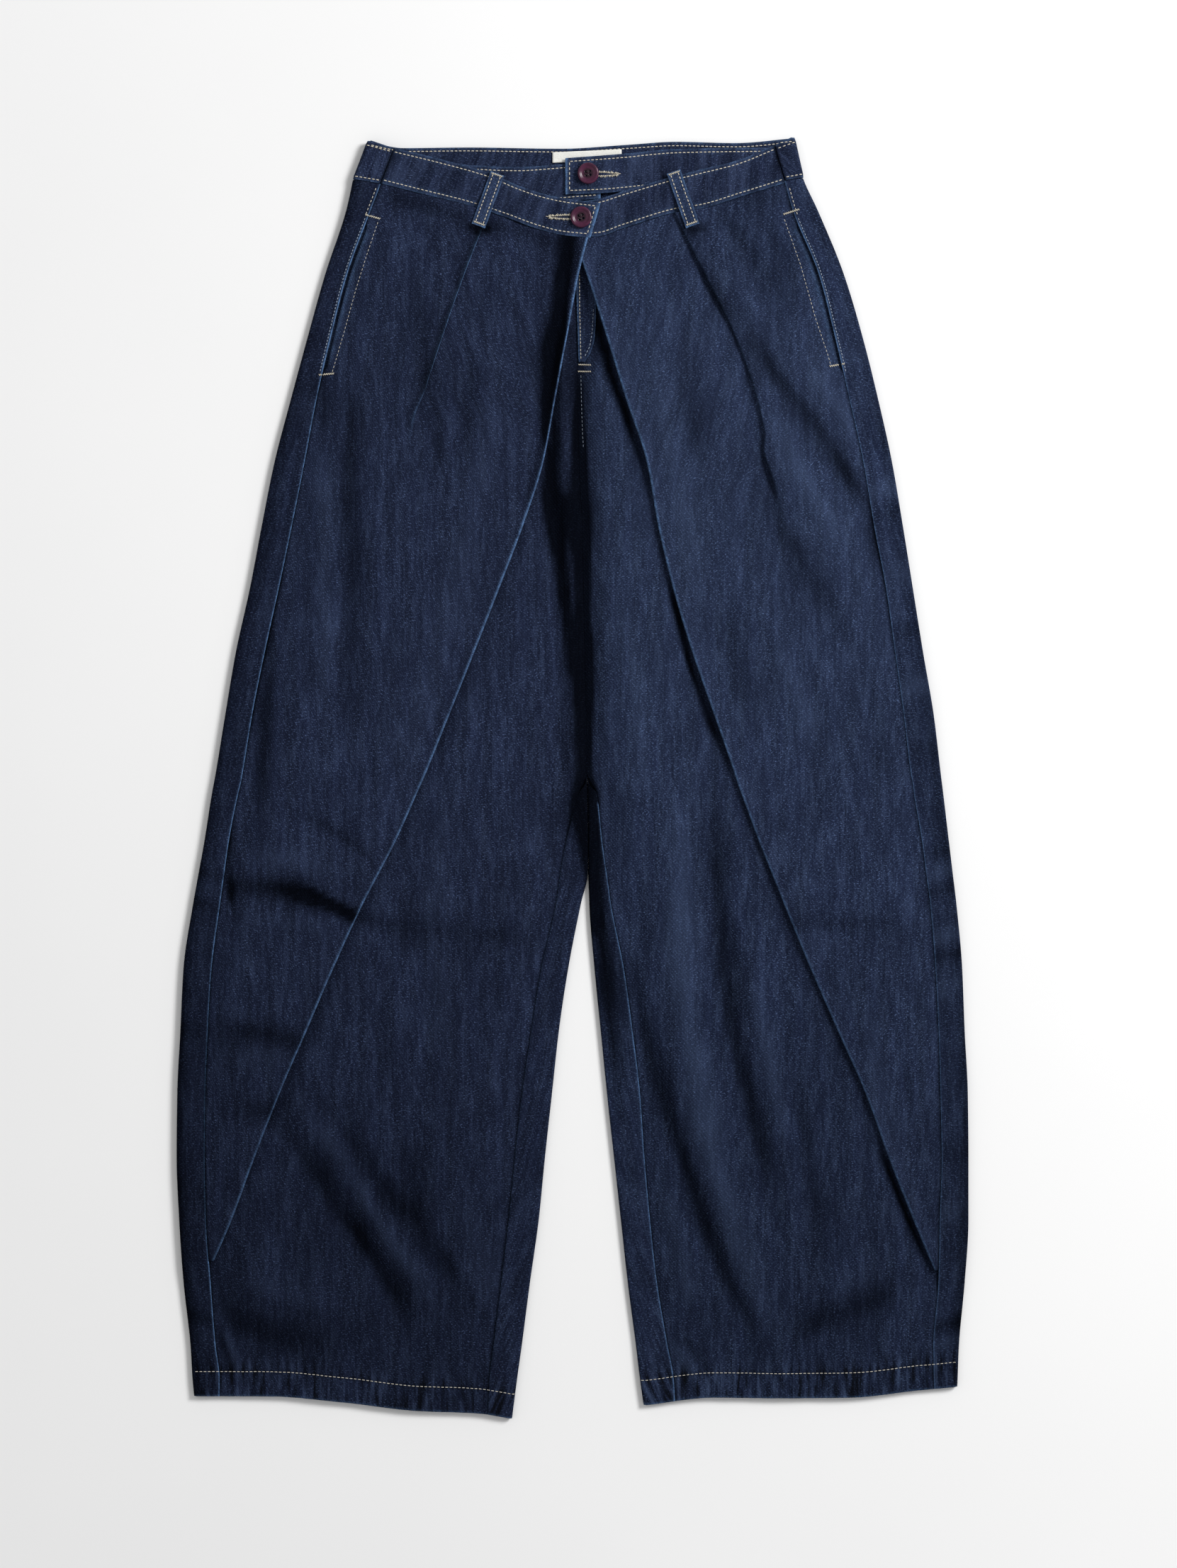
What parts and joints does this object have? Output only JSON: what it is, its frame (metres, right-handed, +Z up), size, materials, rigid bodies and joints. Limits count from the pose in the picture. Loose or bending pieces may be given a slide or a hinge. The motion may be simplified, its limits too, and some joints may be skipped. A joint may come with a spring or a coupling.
{
  "type": "jeans",
  "caption": "Wide, low-crotched denim jeans lying flat, with outer fronts folded back in long diagonals over inner ones, a layered waistband with a tab, side pockets and turned hems.",
  "frame": {"origin": "the middle of the outline seen from above, on the surface that the jeans lie on", "axes": "+Y along the legs from the hems to the waist, +X to the viewer's right, +Z up out of the front"},
  "size_m": [0.628, 1.0147, 0.0157],
  "materials": {
    "denim": "dark indigo twill, matt",
    "denim_band": "dark indigo twill with worn lighter edges, matt",
    "denim_facing": "worn mid-blue twill, matt",
    "label_cloth": "off-white woven tape, matt",
    "button_resin": "burgundy resin, glossy"
  },
  "bodies": {
    "root": {"back_left": "denim", "back_right": "denim", "front_left": "denim", "front_right": "denim", "front_overlay_left": "denim", "front_overlay_right": "denim", "pocket_facing_left": "denim_facing", "pocket_facing_right": "denim_facing", "fly_placket": "denim", "waistband_back": "denim_band", "waistband_outer_left": "denim_band", "waistband_outer_right": "denim_band", "waistband_inner_left": "denim_band", "waistband_inner_right": "denim_band", "label_blank": "label_cloth", "button_upper": "button_resin", "button_lower": "button_resin", "belt_loop_front_left": "denim_band", "belt_loop_front_right": "denim_band", "belt_loop_back_left": "denim_band", "belt_loop_back_centre": "denim_band", "belt_loop_back_right": "denim_band"}
  },
  "joints": []
}
